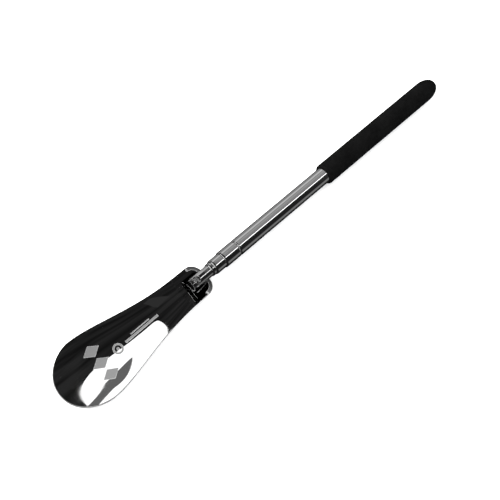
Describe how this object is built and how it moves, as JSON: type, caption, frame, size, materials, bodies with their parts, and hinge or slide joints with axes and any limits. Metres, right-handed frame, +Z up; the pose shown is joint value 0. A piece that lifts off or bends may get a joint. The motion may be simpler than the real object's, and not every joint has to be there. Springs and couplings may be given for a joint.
{
  "type": "telescopic long shoehorn",
  "caption": "Long telescopic shoehorn: polished scooped blade screwed to nested round chrome tubes that slide and twist out of a foam-covered handle.",
  "frame": {"origin": "on the resting surface, under the middle of the closed shoehorn", "axes": "+X along the tubes towards the grip, blade at -X, +Z up on the hollow side of the blade"},
  "size_m": [0.306, 0.0384, 0.013],
  "materials": {
    "polished_blade": "mirror-polished stainless sheet",
    "chromed_tube": "bright chromed drawn tube",
    "screw_steel": "bright turned steel",
    "insert_alloy": "plain turned alloy",
    "spring_brass": "half-hard spring brass",
    "nylon": "moulded nylon",
    "grip_foam": "fine closed-cell foam, matte"
  },
  "bodies": {
    "handle": {"outer_tube": "chromed_tube", "end_plug": "nylon", "foam_grip": "grip_foam"},
    "second_carrier": {"second_upper_leaf": "spring_brass", "second_lower_leaf": "spring_brass"},
    "second_stage": {"second_tube": "chromed_tube", "second_tail_ring": "spring_brass"},
    "third_carrier": {"third_upper_leaf": "spring_brass", "third_lower_leaf": "spring_brass"},
    "third_stage": {"third_tube": "chromed_tube", "third_tail_ring": "spring_brass"},
    "inner_carrier": {"inner_upper_leaf": "spring_brass", "inner_lower_leaf": "spring_brass"},
    "blade_stage": {"inner_tube": "chromed_tube", "inner_tail_ring": "spring_brass", "tip_insert": "insert_alloy", "lock_washer": "screw_steel", "blade_screw": "screw_steel", "barrel_nut": "screw_steel", "blade": "polished_blade"}
  },
  "joints": [
    {"name": "second_slide", "type": "slide", "parent": "handle", "child": "second_carrier", "axis": [-1, 0, 0], "range_m": [0, 0.16]},
    {"name": "second_twist", "type": "hinge", "parent": "second_carrier", "child": "second_stage", "pos_m": [0, 0, 0.0065], "axis": [1, 0, 0], "continuous": true},
    {"name": "third_slide", "type": "slide", "parent": "second_stage", "child": "third_carrier", "axis": [-1, 0, 0], "range_m": [0, 0.158]},
    {"name": "third_twist", "type": "hinge", "parent": "third_carrier", "child": "third_stage", "pos_m": [0, 0, 0.0065], "axis": [1, 0, 0], "continuous": true},
    {"name": "inner_slide", "type": "slide", "parent": "third_stage", "child": "inner_carrier", "axis": [-1, 0, 0], "range_m": [0, 0.151]},
    {"name": "inner_twist", "type": "hinge", "parent": "inner_carrier", "child": "blade_stage", "pos_m": [0, 0, 0.0065], "axis": [1, 0, 0], "continuous": true}
  ]
}
